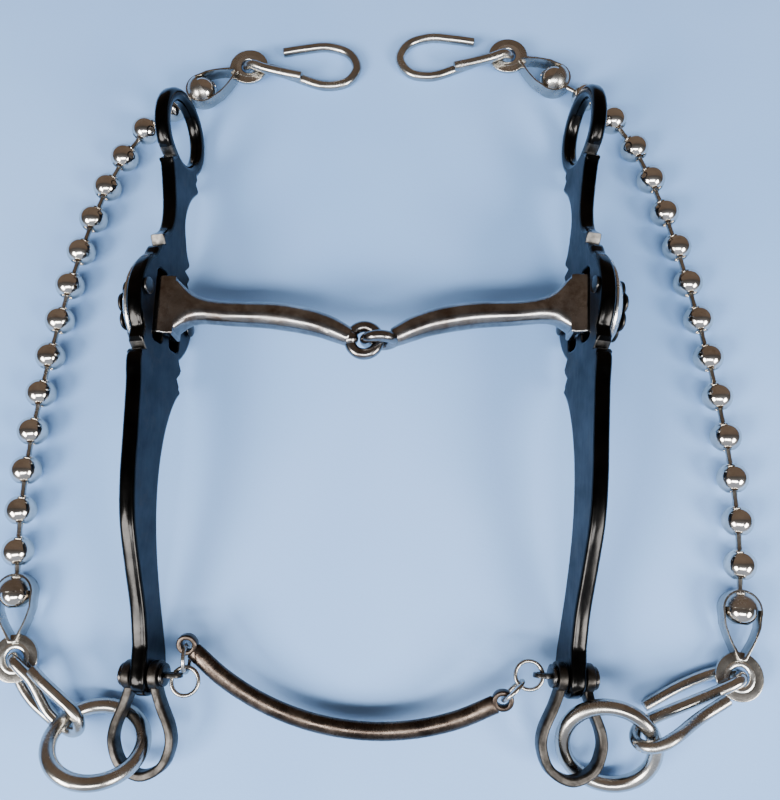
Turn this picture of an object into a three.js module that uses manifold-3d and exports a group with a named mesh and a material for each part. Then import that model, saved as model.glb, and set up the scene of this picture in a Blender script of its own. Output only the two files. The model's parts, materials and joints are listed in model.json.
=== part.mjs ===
// Western loose-jaw curb bit, lying on a table with its ball rein chains laid out round it.
// Millimetres. +X runs across the mouth, +Y towards the headstall rings, +Z up off the table.
// Every hinged piece has its origin on its own pivot.
import * as THREE from 'three';
import { mergeVertices } from 'three/addons/utils/BufferGeometryUtils.js';
import Module from 'manifold-3d';

const wasm = await Module();
wasm.setup();

// ---- driving dimensions -------------------------------------------------------------------
const MOUTH_HALF = 66.8;          // centre of the bit to the jaw post
const SPLAY = THREE.MathUtils.degToRad(10);   // the loose cheeks lean outwards by this much
const TOE_IN = THREE.MathUtils.degToRad(3.5);  // the right shank has also turned inwards
const CHEEK_THICK = 4.8;
const CHEEK_EDGE = 0.7;           // rounding of the cheek's edges
const DISC_RADIUS = 17.8;         // round boss of the cheek behind the concho
const RING_AT = [64.5, -2.6];     // headstall ring centre, from the jaw post (Y, up the cheek)
const RING_RADIUS = 15;
const RING_HOLE = 10.5;
const PIN_AT = [-110, -8.1];      // shackle pin, from the jaw post (Y, up the cheek)
const PIN_RADIUS = 2;
const SLOT_TOP = 10.6;            // the two slots beside the jaw post, from its middle
const SLOT_BOTTOM = -12.4;
const POST_HALF = 2.3;
const SLOT_EDGE = 8.2;
const BARREL_RADIUS = 5.3;
const BARREL_BORE = 3.4;
const BARREL_HALF = 9.6;
const JOINT_Y = -10.5;            // where the two mouthpiece eyes link
const EYE_RADIUS = 4.5;
const EYE_WIRE = 1.8;
const EYE_OFFSET = 2.4;           // each eye's centre to the middle of the mouth
const CONCHO_RADIUS = 16.4;
const CONCHO_RIVET_AT = [2, 14];
const GAP = 0.3;                  // clearance between pieces that touch
const SHACKLE_WIDTH = 4.2;
const SHACKLE_THICK = 2.6;
const SHACKLE_DROOP = { left: THREE.MathUtils.degToRad(6.5), right: THREE.MathUtils.degToRad(3) };
const REIN_RING_RADIUS = 12.7;
const REIN_RING_WIRE = 2.2;
const SMALL_RING_RADIUS = 3.9;
const SMALL_RING_WIRE = 0.6;
const LUG_REACH = 9.1;            // pin lug hole to the middle of the cheek
const BAR_SAG = 17;
const BAR_TILT = THREE.MathUtils.degToRad(20);
const BEAD_RADIUS = 4.75;
const BEAD_PITCH = { left: 12.7, right: 13.1 };   // the right chain is pulled out longer
const BEADS = 16;
const NECK_RADIUS = 0.95;
const NECK_DEPTH = 1.1;           // how far a link's neck reaches into the next bead
const COUPLER_LENGTH = 19;        // end bead to the coupler's eye
const COUPLER_EYE = 7;
const COUPLER_HOLE = 2.8;
const COUPLER_THICK = 1.6;
const STRAP_WIDTH = 5;
const STRAP_THICK = 0.7;
const HOOK_WIRE = 1.7;
const HOOK_LOW = 1.9;             // height of the hook wire that lies on the table
const HOOK_HIGH = 7.7;            // height of the hook wire that lies over the coupler's eye
// How the rein rings hang in their shackles: the left one with the side nearest the rider up,
// over the shackle's bend, and the right one the other way up. high is (outwards, Y), and legs is
// how far the two free legs of the hook on the ring stand off its middle.
const REIN_RINGS = {
  left: {
    at: [76.6, -128, 12.2], tilt: THREE.MathUtils.degToRad(50), high: [0.25, -0.968], legs: [5.7, 3.2],
  },
  right: {
    at: [75.6, -127.8, 8.9], tilt: THREE.MathUtils.degToRad(31), high: [0.3, 0.954], legs: [4.3, 2.3],
  },
};
// Where each chain lies, from its headstall end to its rein end, measured outwards from the middle.
const CHAIN_ROUTES = {
  left: [
    [63, 89.3], [72.2, 83.8], [81.2, 75.2], [88.3, 64.3], [93.8, 52], [98.6, 36], [102.8, 17],
    [106, -3], [108.7, -24], [110.4, -46], [110.2, -68], [108.4, -88], [105.2, -110],
  ],
  right: [
    [63.5, 92.7], [73.6, 86.3], [82.7, 77.4], [89.8, 66.2], [95, 53.4], [99.6, 37], [103.7, 18],
    [107.1, -2], [110, -23], [112, -45], [112.4, -67], [110.8, -87], [107.2, -109],
  ],
};

// ---- materials ----------------------------------------------------------------------------
const steel = (color, roughness) => new THREE.MeshStandardMaterial({ color, roughness, metalness: 1 });
const bluedSteel = steel(0x2b3038, 0.42);
const darkSteel = steel(0x4a4a4c, 0.3);
const brownSteel = steel(0x3a3230, 0.45);
const nickel = steel(0xb9b4a8, 0.22);
const silver = steel(0xc8c6c0, 0.3);

// ---- shared helpers -----------------------------------------------------------------------
function toSolid(geometry) {
  const bare = geometry.clone();
  bare.deleteAttribute('normal');
  bare.deleteAttribute('uv');
  const merged = mergeVertices(bare, 1e-4);
  return new wasm.Manifold(new wasm.Mesh({
    numProp: 3,
    vertProperties: new Float32Array(merged.attributes.position.array),
    triVerts: new Uint32Array(merged.index.array),
  }));
}

function toGeometry(solid) {
  const mesh = solid.getMesh();
  const geometry = new THREE.BufferGeometry();
  geometry.setAttribute('position', new THREE.BufferAttribute(mesh.vertProperties, 3));
  geometry.setIndex(new THREE.BufferAttribute(mesh.triVerts, 1));
  geometry.computeVertexNormals();
  return geometry;
}

// Joins and cuts closed geometries.
function combine(added, cut = []) {
  let solid = toSolid(added[0]);
  for (const geometry of added.slice(1)) solid = solid.add(toSolid(geometry));
  for (const geometry of cut) solid = solid.subtract(toSolid(geometry));
  return toGeometry(solid);
}

function cylinder(radius, length, axis, at, sides = 16) {
  const geometry = new THREE.CylinderGeometry(radius, radius, length, sides);
  const turn = new THREE.Quaternion().setFromUnitVectors(new THREE.Vector3(0, 1, 0), axis);
  return geometry.applyQuaternion(turn).translate(...at);
}

function turned(profile, axis, sides) {
  const points = profile.map(([radius, height]) => new THREE.Vector2(radius, height));
  const turn = new THREE.Quaternion().setFromUnitVectors(new THREE.Vector3(0, 1, 0), axis);
  return new THREE.LatheGeometry(points, sides).applyQuaternion(turn);
}

function arc([cx, cy], radius, from, to, steps) {
  return Array.from({ length: steps + 1 }, (_, i) => {
    const angle = THREE.MathUtils.degToRad(from + ((to - from) * i) / steps);
    return [cx + radius * Math.cos(angle), cy + radius * Math.sin(angle)];
  });
}

function smooth(points, steps) {
  const curve = new THREE.SplineCurve(points.map(([x, y]) => new THREE.Vector2(x, y)));
  return curve.getPoints(steps).map((p) => [p.x, p.y]);
}

const shapeOf = (points) => new THREE.Shape(points.map(([x, y]) => new THREE.Vector2(x, y)));
const holeOf = (points) => new THREE.Path(points.map(([x, y]) => new THREE.Vector2(x, y)));

// An outline extruded to a full thickness, centred on its plane, with bevelled edges.
function plate(shape, thickness, bevel) {
  const geometry = new THREE.ExtrudeGeometry(shape, {
    depth: thickness - 2 * bevel,
    bevelEnabled: bevel > 0,
    bevelThickness: bevel,
    bevelSize: bevel,
    bevelOffset: -bevel,
    bevelSegments: 1,
    steps: 1,
    curveSegments: 12,
  });
  return geometry.translate(0, 0, bevel - thickness / 2);
}

// A rod bent along a curve. sectionAt(t) gives its half width level with the table and its
// half height; a rod that runs upright anywhere is round and leaves level as false.
function rod(curve, sectionAt, sides, steps, level) {
  const geometry = new THREE.CylinderGeometry(1, 1, 1, sides, steps);
  const frames = curve.computeFrenetFrames(steps, false);
  const position = geometry.attributes.position;
  for (let i = 0; i < position.count; i += 1) {
    const t = position.getY(i) + 0.5;
    const step = Math.round(t * steps);
    const tangent = frames.tangents[step];
    const across = level
      ? new THREE.Vector3(0, 0, 1).cross(tangent).normalize()
      : frames.normals[step];
    const upward = tangent.clone().cross(across);
    const [halfWidth, halfHeight] = sectionAt(t);
    const point = curve.getPointAt(t)
      .addScaledVector(across, position.getX(i) * halfWidth)
      .addScaledVector(upward, -position.getZ(i) * halfHeight);
    position.setXYZ(i, point.x, point.y, point.z);
  }
  return geometry;
}

const curveThrough = (points) => new THREE.CatmullRomCurve3(
  points.map((p) => new THREE.Vector3(...p)), false, 'centripetal');

function node(name, geometry, material, parent, at = [0, 0, 0]) {
  const mesh = new THREE.Mesh(geometry, material);
  mesh.name = name;
  mesh.position.set(...at);
  parent.add(mesh);
  return mesh;
}

const X = new THREE.Vector3(1, 0, 0);
const Y = new THREE.Vector3(0, 1, 0);
const Z = new THREE.Vector3(0, 0, 1);

// ---- cheek: outline in (Y, up the cheek) from the jaw post ----------------------------------
function cheekOutline() {
  const headstall = arc(RING_AT, RING_RADIUS, -134, 132, 22);
  const nearNeck = smooth([[50.4, 6], [43.5, 3.6], [34, 1.6], [27, 2.6], [22.4, 7]], 12);
  const nearDisc = arc([0, 0], DISC_RADIUS, 36, 128, 8);
  const nearShank = smooth([[-19.6, 14.4], [-28, 13.6], [-42, 12.8], [-56, 12], [-68, 9.8], [-80, 5],
    [-92, -0.2], [-102, -3]], 18);
  const shankEnd = smooth([[-107, -3], [-112.8, -3.6], [-116, -8.4], [-114.6, -14.2],
    [-109.5, -17.3], [-103.5, -16.4]], 12);
  const farShank = smooth([[-96, -13.6], [-86, -9.8], [-75, -6.4], [-64, -4.2], [-52, -3.6],
    [-41, -5], [-32, -8], [-24.6, -12.4]], 16);
  const farDisc = arc([0, 0], DISC_RADIUS, 216, 318, 10);
  const farNeck = smooth([[19.6, -12.2], [26, -9.4], [33.5, -7.6], [41, -9.4], [48.4, -14.4]], 12);
  return [
    ...headstall, [52.4, 4.4], ...nearNeck, [19.8, 5.4], [17.4, 9],
    ...nearDisc, [-14, 14.6], [-16.8, 11.4], ...nearShank, ...shankEnd, ...farShank,
    [-20.6, -9.4], [-17.4, -12.2], ...farDisc, [15.4, -12.8], [16.8, -9.4], ...farNeck, [50.6, -12],
  ];
}

function slot(side) {
  const corner = 1.2;
  const near = side * POST_HALF;
  const far = side * SLOT_EDGE;
  return [
    [SLOT_BOTTOM, near + side * corner], [SLOT_BOTTOM + corner, near],
    [SLOT_TOP - corner, near], [SLOT_TOP, near + side * corner],
    [SLOT_TOP, far - side * corner], [SLOT_TOP - corner, far],
    [SLOT_BOTTOM + corner, far], [SLOT_BOTTOM, far - side * corner],
  ];
}

function cheekGeometry() {
  const shape = shapeOf(cheekOutline());
  const rivetHole = (sign) => arc(CONCHO_RIVET_AT.map((v) => sign * v), 1.6, 0, 330, 11);
  shape.holes.push(
    holeOf(arc(RING_AT, RING_HOLE, 0, 345, 23)),
    holeOf(arc(PIN_AT, PIN_RADIUS + 0.4, 0, 330, 11)),
    holeOf(slot(1)),
    holeOf(slot(-1)),
    holeOf(rivetHole(1)),
    holeOf(rivetHole(-1)),
  );
  const geometry = plate(shape, CHEEK_THICK, CHEEK_EDGE);
  return geometry.applyMatrix4(new THREE.Matrix4().makeBasis(Y, Z, X));
}

// ---- concho: silver dome with its two rivets, and the dark rosette on it ----------------------
function conchoPlate(outward) {
  const axis = X.clone().multiplyScalar(outward);
  const seat = CHEEK_THICK / 2 + GAP;
  const dome = turned([
    [0, 4.2], [8, 3.9], [10.6, 3.1], [12.4, 0], [CONCHO_RADIUS, 0], [CONCHO_RADIUS, 1],
    [13.6, 1.4], [11.6, 4.1], [8.6, 5.2], [0, 5.7],
  ].map(([radius, height]) => [radius, height + seat]), axis, 20);
  const parts = [dome];
  for (const sign of [1, -1]) {
    const [y, z] = CONCHO_RIVET_AT.map((v) => sign * v);
    const headAt = -outward * (CHEEK_THICK / 2 + GAP + 0.5);
    const shankFrom = -outward * (CHEEK_THICK / 2 + GAP);
    const shankTo = outward * (seat + 0.6);
    const middle = (shankFrom + shankTo) / 2;
    parts.push(cylinder(1.3, Math.abs(shankTo - shankFrom) + 0.4, X, [middle, y, z], 10));
    parts.push(cylinder(2.6, 1, X, [headAt, y, z], 12));
  }
  return combine(parts);
}

function rosette(outward) {
  const lobes = 8;
  const points = Array.from({ length: lobes * 5 }, (_, i) => {
    const angle = (i / (lobes * 5)) * 2 * Math.PI;
    const radius = 8.6 + 1.5 * Math.abs(Math.cos((lobes / 2) * angle));
    return [radius * Math.cos(angle), radius * Math.sin(angle)];
  });
  const thickness = 1.8;
  const geometry = plate(shapeOf(points), thickness, 0.6);
  const standoff = CHEEK_THICK / 2 + GAP + 5.7 + GAP + thickness / 2;
  return geometry.applyMatrix4(new THREE.Matrix4().makeBasis(Y, Z, X)).translate(outward * standoff, 0, 0);
}

// ---- shackle pin: two heads, and a lug on its inner end for the slobber bar's ring ------------
function shacklePin(outward) {
  const ear = CHEEK_THICK / 2 + 0.45 + SHACKLE_THICK + GAP;
  const inner = -outward;
  const head = 1.3;
  const lugAt = [inner * LUG_REACH, 0, 0];
  return combine([
    cylinder(PIN_RADIUS, 2 * ear + 0.4, X, [0, 0, 0], 12),
    cylinder(3.3, head, X, [outward * (ear + head / 2), 0, 0], 14),
    cylinder(3.3, head, X, [inner * (ear + head / 2), 0, 0], 14),
    cylinder(2.8, 1.4, Y, lugAt, 12),
  ], [cylinder(1.6, 4, Y, lugAt, 10)]);
}

// ---- shackle: a bent strap whose ears hold the pin; origin on the pin, legs towards -Y -------
function shackleGeometry() {
  const legX = CHEEK_THICK / 2 + 0.45 + SHACKLE_THICK / 2;
  const half = [[legX, 1], [legX, -3.4], [5.8, -8.4], [8.5, -14.6], [8.8, -19.6], [6.2, -25]];
  const other = half.map(([x, y]) => [-x, y]).reverse();
  const strapLine = [...half, [0, -27.7], ...other];
  const centre = new THREE.SplineCurve(strapLine.map(([x, y]) => new THREE.Vector2(x, y)));
  const steps = 26;
  const side = (offset) => Array.from({ length: steps + 1 }, (_, i) => {
    const point = centre.getPoint(i / steps);
    const tangent = centre.getTangent(i / steps);
    return [point.x - tangent.y * offset, point.y + tangent.x * offset];
  });
  const outline = [...side(SHACKLE_THICK / 2), ...side(-SHACKLE_THICK / 2).reverse()];
  const strap = plate(shapeOf(outline), SHACKLE_WIDTH, 0.4);
  const ears = [-1, 1].map((sign) => cylinder(4.1, SHACKLE_THICK, X, [sign * legX, 0, 0], 16));
  return combine([strap, ...ears], [cylinder(PIN_RADIUS + 0.4, 20, X, [0, 0, 0], 12)]);
}

function torus(radius, wire, segments, sides) {
  return new THREE.TorusGeometry(radius, wire, sides, segments);
}

// ---- mouthpiece half: barrel on the jaw post, trumpet, bent canon and link eye ---------------
// Origin on the jaw post, whose direction is post; inward is towards the middle of the mouth.
function mouthpieceHalf(inward, post) {
  const barrel = turned([
    [BARREL_BORE, -BARREL_HALF], [BARREL_RADIUS, -BARREL_HALF], [BARREL_RADIUS, BARREL_HALF],
    [BARREL_BORE, BARREL_HALF], [BARREL_BORE, -BARREL_HALF],
  ], post, 16);
  const eyeX = MOUTH_HALF - EYE_OFFSET;
  const canonCurve = curveThrough([
    [4.2, 0, 0], [11, -0.6, 0], [20, -1.6, 0], [37, -2.6, 0], [50.5, -5.4, 0], [60, -9.6, 0],
  ].map(([x, y, z]) => [inward * x, y, z]));
  const stations = [[0, 10, 5], [0.045, 8.4, 4.9], [0.1, 5.6, 4.3], [0.17, 4, 3.8], [0.3, 3.6, 3.6],
    [0.6, 4.2, 4.2], [0.85, 4, 4], [1, 3, 3]];
  const canon = rod(canonCurve, (t) => sectionFrom(stations, t), 12, 16, true);
  const eye = torus(EYE_RADIUS, EYE_WIRE, 18, 8);
  if (inward < 0) eye.rotateX(Math.PI / 2);
  eye.translate(inward * eyeX, JOINT_Y, 0);
  const root = new THREE.SphereGeometry(2.6, 8, 6).translate(inward * (MOUTH_HALF - 6.9), JOINT_Y + 0.6, 0);
  return combine([barrel, canon, eye, root]);
}

// Straight blend between the stations [t, half width, half height].
function sectionFrom(stations, t) {
  const next = Math.max(1, stations.findIndex(([at]) => at >= t - 1e-9));
  const [t0, w0, h0] = stations[next - 1];
  const [t1, w1, h1] = stations[next];
  const k = (t - t0) / (t1 - t0);
  return [w0 + (w1 - w0) * k, h0 + (h1 - h0) * k];
}

// ---- slobber bar: a half-round bar bowed between two flat eyes --------------------------------
// Origin on the first eye; the second eye is at (span, 0), and the bow hangs towards -Y.
function slobberBar(span) {
  const radius = (span * span / 4 + BAR_SAG * BAR_SAG) / (2 * BAR_SAG);
  const spread = Math.asin(span / 2 / radius);
  const points = Array.from({ length: 9 }, (_, i) => {
    const angle = -spread + (2 * spread * (i + 0.2)) / 8.4;
    return [span / 2 + radius * Math.sin(angle), radius - BAR_SAG - radius * Math.cos(angle), 0];
  });
  const bow = rod(curveThrough(points), () => [2.75, 2], 8, 14, true);
  const ends = [0, span];
  const pads = ends.map((x) => cylinder(3.1, 2.4, Z, [x, 0, 0], 14));
  return combine([bow, ...pads], ends.map((x) => cylinder(1.7, 6, Z, [x, 0, 0], 10)));
}

// ---- chain pieces -----------------------------------------------------------------------------
// A hollow bead with the dumbbell link that holds the next one, a pitch away; the last bead has a
// pitch of 0 and no link. Origin on the joint with the link before it, +X towards the next bead.
function beadGeometry(pitch) {
  const pivotDepth = BEAD_RADIUS - NECK_DEPTH;
  const mouth = 2.2;
  const rear = -Math.sqrt(BEAD_RADIUS ** 2 - mouth ** 2);
  const round = (from, to, steps) => arc([0, 0], BEAD_RADIUS, from, to, steps)
    .map(([along, radius]) => [radius, along]);
  const open = THREE.MathUtils.radToDeg(Math.atan2(mouth, rear));
  const front = pitch ? THREE.MathUtils.radToDeg(Math.asin(NECK_RADIUS / BEAD_RADIUS)) : 0;
  const tip = pitch - pivotDepth;
  const profile = [[0, -2.6], [1.7, -2.6], ...round(open, front, 5)];
  if (pitch) profile.push([NECK_RADIUS, tip], [0, tip]);
  if (!pitch) profile[profile.length - 1] = [0, BEAD_RADIUS];
  return turned(profile, X, 8).translate(pivotDepth, 0, 0);
}

// The strap that folds round an end bead and meets in a riveted eye. Origin on the bead,
// +X towards the eye.
function couplerGeometry() {
  const inside = BEAD_RADIUS + 0.45;
  const nose = COUPLER_LENGTH - COUPLER_EYE + 1.6;
  const loop = (offset) => [
    ...arc([0, 0], inside + offset, 75, 285, 14),
    ...smooth([[4.6, -(inside - 0.5 + offset)], [8.6, -(3.2 + offset)], [nose + offset, -0.35 - offset]], 4),
    ...smooth([[nose + offset, 0.35 + offset], [8.6, 3.2 + offset], [4.6, inside - 0.5 + offset]], 4),
  ];
  const shape = shapeOf(loop(STRAP_THICK));
  shape.holes.push(holeOf(loop(0)));
  const strap = plate(shape, STRAP_WIDTH, 0);
  const eyeAt = [COUPLER_LENGTH, 0, 0];
  const eye = cylinder(COUPLER_EYE, COUPLER_THICK, Z, eyeAt, 20);
  return combine([strap, eye], [
    cylinder(COUPLER_HOLE, 6, Z, eyeAt, 14),
    cylinder(2.1, 6, X, [-inside, 0, 0], 10),
  ]);
}

// S-hook on a coupler's eye. Origin on the eye's hole; the points are (x, y, height above table).
function hookGeometry(points, eyeHeight) {
  const curve = curveThrough(points.map(([x, y, z]) => [x, y, z - eyeHeight]));
  return rod(curve, () => [HOOK_WIRE, HOOK_WIRE], 6, 30, false);
}

const UPPER_HOOK = [
  [-11.8, 8.3, HOOK_LOW], [-20, 9.7, HOOK_LOW], [-28.3, 10.4, HOOK_LOW], [-36.2, 7.6, HOOK_LOW],
  [-39.3, 1.6, HOOK_LOW], [-36, -4.4, HOOK_LOW], [-28.3, -6.2, HOOK_LOW], [-16, -2, HOOK_LOW],
  [-6.4, 1.7, HOOK_LOW], [-1.6, 0.4, 2.2], [0.5, -0.1, 4.75], [-1.6, -0.9, 7.3],
  [-6, -2.8, HOOK_HIGH], [-13, -4.8, HOOK_HIGH], [-19.8, -6.4, HOOK_HIGH],
];

// The lower hook is held at its far end by the rein ring's wire, reach away at wireHeight. There the
// wire rises by slope to one side, and the hook's bend goes round it squarely.
function lowerHookPoints(reach, wireHeight, slope, [lowLeg, highLeg]) {
  const atEye = [
    [reach - 4, -lowLeg, HOOK_LOW], [reach * 0.45, -lowLeg - 0.2, HOOK_LOW], [3.6, -lowLeg * 0.68, HOOK_LOW],
    [1, -1.3, 2.3], [-0.5, 0, BEAD_RADIUS], [1.2, 0.2, 7.2], [4.2, 0.2, HOOK_HIGH], [8.8, 0, 7.4],
  ];
  const roundWire = [
    [-6.4, -4.3], [-3, -4.6], [0, -4.6], [3.3, -3.1], [4.8, 0], [3.3, 3.2], [0, 4.7], [-4, 4.7],
  ];
  const free = [[reach * 0.55, highLeg + 0.3, HOOK_HIGH + 4.2], [8, highLeg, HOOK_HIGH + 2.9]];
  return [
    ...atEye,
    ...roundWire.map(([a, out]) => [reach + a, out * Math.sin(slope), wireHeight + out * Math.cos(slope)]),
    ...free,
  ];
}

// ---- assembly -----------------------------------------------------------------------------
const sides = [{ word: 'left', sign: -1, turn: 0 }, { word: 'right', sign: 1, turn: -TOE_IN }];
const bit = new THREE.Group();
const jawHeight = DISC_RADIUS * Math.cos(SPLAY) + (CHEEK_THICK / 2) * Math.sin(SPLAY);
const cheek = cheekGeometry();
const shackle = shackleGeometry();
const reinRing = torus(REIN_RING_RADIUS, REIN_RING_WIRE, 20, 8);
const smallRing = torus(SMALL_RING_RADIUS, SMALL_RING_WIRE, 14, 6);
const endBead = beadGeometry(0);
const coupler = couplerGeometry();

function cheekSide({ word, sign, turn }) {
  const frame = new THREE.Group();
  frame.position.set(sign * MOUTH_HALF, 0, jawHeight);
  frame.rotation.set(0, sign * SPLAY, turn, 'ZYX');
  bit.add(frame);
  node(`${word}_cheek`, cheek, bluedSteel, frame);
  node(`${word}_concho_plate`, conchoPlate(sign), silver, frame);
  node(`${word}_concho_rosette`, rosette(sign), brownSteel, frame);
  node(`${word}_shackle_pin`, shacklePin(sign), darkSteel, frame, [0, ...PIN_AT]);
  const hung = node(`${word}_shackle`, shackle, brownSteel, frame, [0, ...PIN_AT]);
  hung.rotation.x = SHACKLE_DROOP[word];
  return frame;
}

function lugOf(frame, sign) {
  frame.updateMatrixWorld(true);
  return frame.localToWorld(new THREE.Vector3(-sign * LUG_REACH, ...PIN_AT));
}

// Two linked small rings from a pin's lug to the slobber bar: the first lies level, the second
// stands upright. Returns where they touch and where the bar's eye is.
function smallRings({ word, sign }, lug, lean, towards) {
  const reach = new THREE.Vector3(-sign * Math.cos(lean), Math.sin(lean), 0);
  const centre = lug.clone().addScaledVector(reach, SMALL_RING_RADIUS);
  const flat = node(`${word}_small_ring_1`, smallRing.clone(), nickel, bit, lug.toArray());
  flat.geometry.translate(...centre.clone().sub(lug).toArray());
  const contact = centre.clone().addScaledVector(towards, SMALL_RING_RADIUS);
  const upright = contact.clone().addScaledVector(towards, SMALL_RING_RADIUS - 2 * SMALL_RING_WIRE - GAP);
  const barEye = upright.clone().addScaledVector(towards, SMALL_RING_RADIUS);
  const turn = new THREE.Quaternion().setFromUnitVectors(Z, towards.clone().cross(Z));
  const standing = smallRing.clone().applyQuaternion(turn);
  standing.translate(...upright.clone().sub(barEye).toArray());
  node(`${word}_small_ring_2`, standing, nickel, bit, barEye.toArray());
  return { contact, barEye };
}

function reinEnd({ word, sign, turn }, eye) {
  // The ring turns about the jaw post with its shank.
  const hang = REIN_RINGS[word];
  const [ringX, ringY, ringZ] = hang.at;
  const withShank = new THREE.Quaternion().setFromAxisAngle(Z, turn);
  const centre = new THREE.Vector3(sign * (ringX - MOUTH_HALF), ringY, ringZ)
    .applyQuaternion(withShank)
    .add(new THREE.Vector3(sign * MOUTH_HALF, 0, 0));
  const high = new THREE.Vector3(sign * hang.high[0], hang.high[1], 0);
  const tilt = new THREE.Quaternion().setFromAxisAngle(high.clone().cross(Z), hang.tilt);
  tilt.premultiply(withShank);
  // Its pivot is where it bears in the shackle's bend.
  const bearing = new THREE.Vector3(-sign * REIN_RING_RADIUS * 0.72, -REIN_RING_RADIUS * 0.69, 0)
    .applyQuaternion(tilt);
  const ring = reinRing.clone().applyQuaternion(tilt).translate(...bearing.clone().negate().toArray());
  node(`${word}_rein_ring`, ring, nickel, bit, centre.clone().add(bearing).toArray());

  // The lower hook lies between the coupler's eye and the nearest part of the ring's wire.
  const wire = eye.clone().sub(centre).setZ(0).setLength(REIN_RING_RADIUS)
    .applyQuaternion(withShank.clone().invert())
    .applyQuaternion(tilt)
    .add(centre);
  const along = wire.clone().sub(eye).setZ(0);
  const reach = along.length();
  along.normalize();
  const across = new THREE.Vector3(-along.y, along.x, 0);
  const points = lowerHookPoints(reach, wire.z, hang.tilt, hang.legs).map(([a, b, height]) => [
    along.x * (a - reach) + across.x * b,
    along.y * (a - reach) + across.y * b,
    height,
  ]);
  const pivot = eye.clone().addScaledVector(along, reach);
  node(`${word}_lower_hook`, hookGeometry(points, BEAD_RADIUS), nickel, bit, pivot.toArray());
}

function chain(side) {
  const { word, sign } = side;
  const route = curveThrough(CHAIN_ROUTES[word].map(([x, y]) => [sign * x, y, BEAD_RADIUS]));
  const places = walk(route, BEADS, BEAD_PITCH[word]).reverse();
  const bead = beadGeometry(BEAD_PITCH[word]);
  const toEye = (from, direction) => from.clone().addScaledVector(direction, COUPLER_LENGTH);
  const headingOf = (from, to) => to.clone().sub(from).normalize();

  const lowerHeading = headingOf(places[1], places[0]);
  const lowerEye = toEye(places[0], lowerHeading);
  const lower = node(`${word}_lower_coupler`, coupler.clone().translate(-COUPLER_LENGTH, 0, 0),
    nickel, bit, lowerEye.toArray());
  lower.rotation.z = Math.atan2(lowerHeading.y, lowerHeading.x);
  reinEnd(side, lowerEye);

  for (let i = 0; i < BEADS; i += 1) {
    const next = places[Math.min(i + 1, BEADS - 1)];
    const heading = i < BEADS - 1 ? headingOf(places[i], next) : headingOf(places[i - 1], places[i]);
    const pivot = places[i].clone().addScaledVector(heading, NECK_DEPTH - BEAD_RADIUS);
    const label = String(i + 1).padStart(2, '0');
    const mesh = node(`${word}_bead_${label}`, i < BEADS - 1 ? bead : endBead, nickel, bit, pivot.toArray());
    mesh.rotation.z = Math.atan2(heading.y, heading.x);
  }

  const upperHeading = headingOf(places[BEADS - 2], places[BEADS - 1]);
  const upper = node(`${word}_upper_coupler`, coupler, nickel, bit, places[BEADS - 1].toArray());
  upper.rotation.z = Math.atan2(upperHeading.y, upperHeading.x);
  const upperEye = toEye(places[BEADS - 1], upperHeading);
  const points = UPPER_HOOK.map(([x, y, z]) => [sign * x, y, z]);
  node(`${word}_upper_hook`, hookGeometry(points, BEAD_RADIUS), nickel, bit, upperEye.toArray());
}

// Points a straight pitch apart along a curve, from its start.
function walk(curve, count, pitch) {
  const fine = curve.getSpacedPoints(2000);
  const places = [fine[0]];
  for (const point of fine) {
    if (places.length === count) break;
    if (point.distanceTo(places[places.length - 1]) >= pitch) places.push(point);
  }
  return places;
}

const frames = sides.map(cheekSide);
const posts = frames.map((frame) => Y.clone().applyQuaternion(frame.quaternion));
node('left_mouthpiece', mouthpieceHalf(1, posts[0]), darkSteel, bit, [-MOUTH_HALF, 0, jawHeight]);
// The right half also turns on the middle link, so its origin is there.
const rightHalf = mouthpieceHalf(-1, posts[1]).translate(MOUTH_HALF, -JOINT_Y, 0);
node('right_mouthpiece', rightHalf, darkSteel, bit, [0, JOINT_Y, jawHeight]);

const [leftLug, rightLug] = frames.map((frame, i) => lugOf(frame, sides[i].sign));
const left = smallRings(sides[0], leftLug, THREE.MathUtils.degToRad(-25), Y);
const right = smallRings(sides[1], rightLug, 0, new THREE.Vector3(-0.75, -0.66, 0).normalize());
const reach = right.barEye.clone().sub(left.barEye);
const bar = slobberBar(reach.length());
bar.rotateX(BAR_TILT).rotateZ(Math.atan2(reach.y, reach.x));
bar.translate(...left.barEye.clone().sub(left.contact).toArray());
const barNode = node('slobber_bar', bar, brownSteel, bit, left.contact.toArray());
barNode.userData.farContact = right.contact.clone().sub(left.contact);
sides.forEach(chain);

// The origin is the bottom centre of the whole part.
bit.updateMatrixWorld(true);
const bounds = new THREE.Box3().setFromObject(bit, true);
const middle = bounds.getCenter(new THREE.Vector3());
bit.position.set(-middle.x, -middle.y, -bounds.min.z);
const part = new THREE.Group();
part.add(bit);

export default part;
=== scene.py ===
import json
import math

import bmesh
import bpy
import numpy as np
from mathutils import Euler, Matrix, Vector
from mathutils.geometry import tessellate_polygon


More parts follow.
